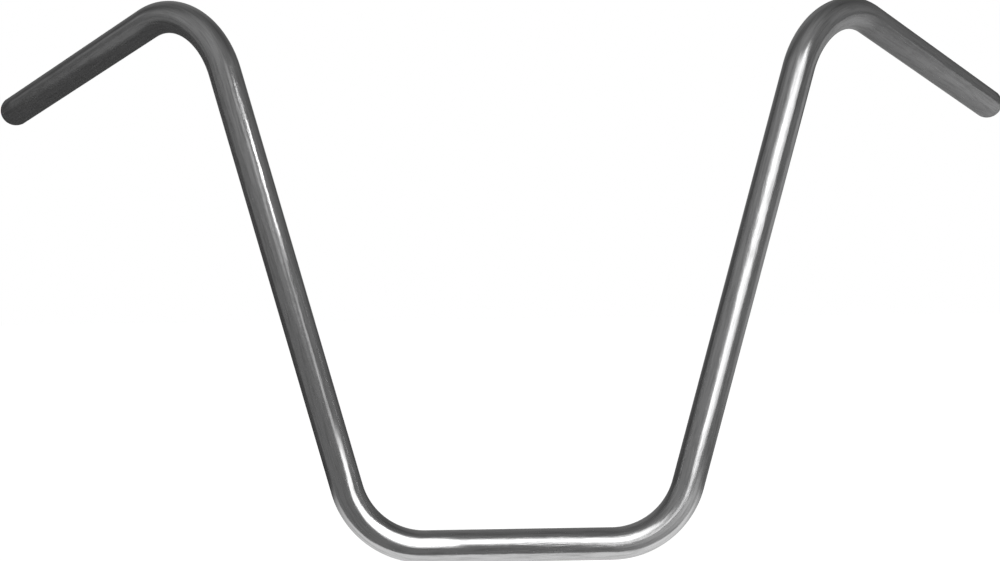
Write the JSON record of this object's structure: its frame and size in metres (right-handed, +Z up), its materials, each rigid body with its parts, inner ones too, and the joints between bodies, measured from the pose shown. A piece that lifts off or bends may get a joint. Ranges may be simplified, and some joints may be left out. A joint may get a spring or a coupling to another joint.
{
  "type": "motorcycle handlebar",
  "caption": "High-rise chromed steel handlebar bent from one tube, with swept-back grip ends closed by domed expander plugs.",
  "frame": {"origin": "centre of the clamp straight, on the axis of the tube", "axes": "+X along the clamp straight toward the rider's left hand, +Y back toward the rider, +Z up along the middle of the bar"},
  "size_m": [0.7826, 0.1622, 0.3908],
  "materials": {
    "tube_chrome": "bright chrome plating with fine polishing marks",
    "cap_chrome": "bright chrome plating",
    "screw_steel": "zinc-plated steel",
    "washer_steel": "spring steel",
    "rubber": "matt moulded rubber",
    "brass": "turned brass"
  },
  "bodies": {
    "bar": {"bar_tube": "tube_chrome", "left_end_cap": "cap_chrome", "left_lock_washer": "washer_steel", "left_expander_bush": "rubber", "right_end_cap": "cap_chrome", "right_lock_washer": "washer_steel", "right_expander_bush": "rubber"},
    "left_screw": {"left_clamp_screw": "screw_steel"},
    "right_screw": {"right_clamp_screw": "screw_steel"},
    "left_nut": {"left_wedge_nut": "brass"},
    "right_nut": {"right_wedge_nut": "brass"}
  },
  "joints": [
    {"name": "left_screw_turn", "type": "hinge", "parent": "bar", "child": "left_screw", "pos_m": [-0.38102, 0.14069, 0.31826], "axis": [-0.7345, 0.6163, -0.284], "range_deg": [0, 1080]},
    {"name": "left_nut_slide", "type": "slide", "parent": "bar", "child": "left_nut", "axis": [0.7345, -0.6163, 0.284], "range_m": [0, 0.003]},
    {"name": "right_screw_turn", "type": "hinge", "parent": "bar", "child": "right_screw", "pos_m": [0.38102, 0.14069, 0.31826], "axis": [0.7345, 0.6163, -0.284], "range_deg": [0, 1080]},
    {"name": "right_nut_slide", "type": "slide", "parent": "bar", "child": "right_nut", "axis": [-0.7345, -0.6163, 0.284], "range_m": [0, 0.003]}
  ],
  "couplings": [
    {"joint": "left_screw_turn", "follows": "left_nut_slide", "rad_per_m": 6283.2},
    {"joint": "right_screw_turn", "follows": "right_nut_slide", "rad_per_m": 6283.2}
  ]
}
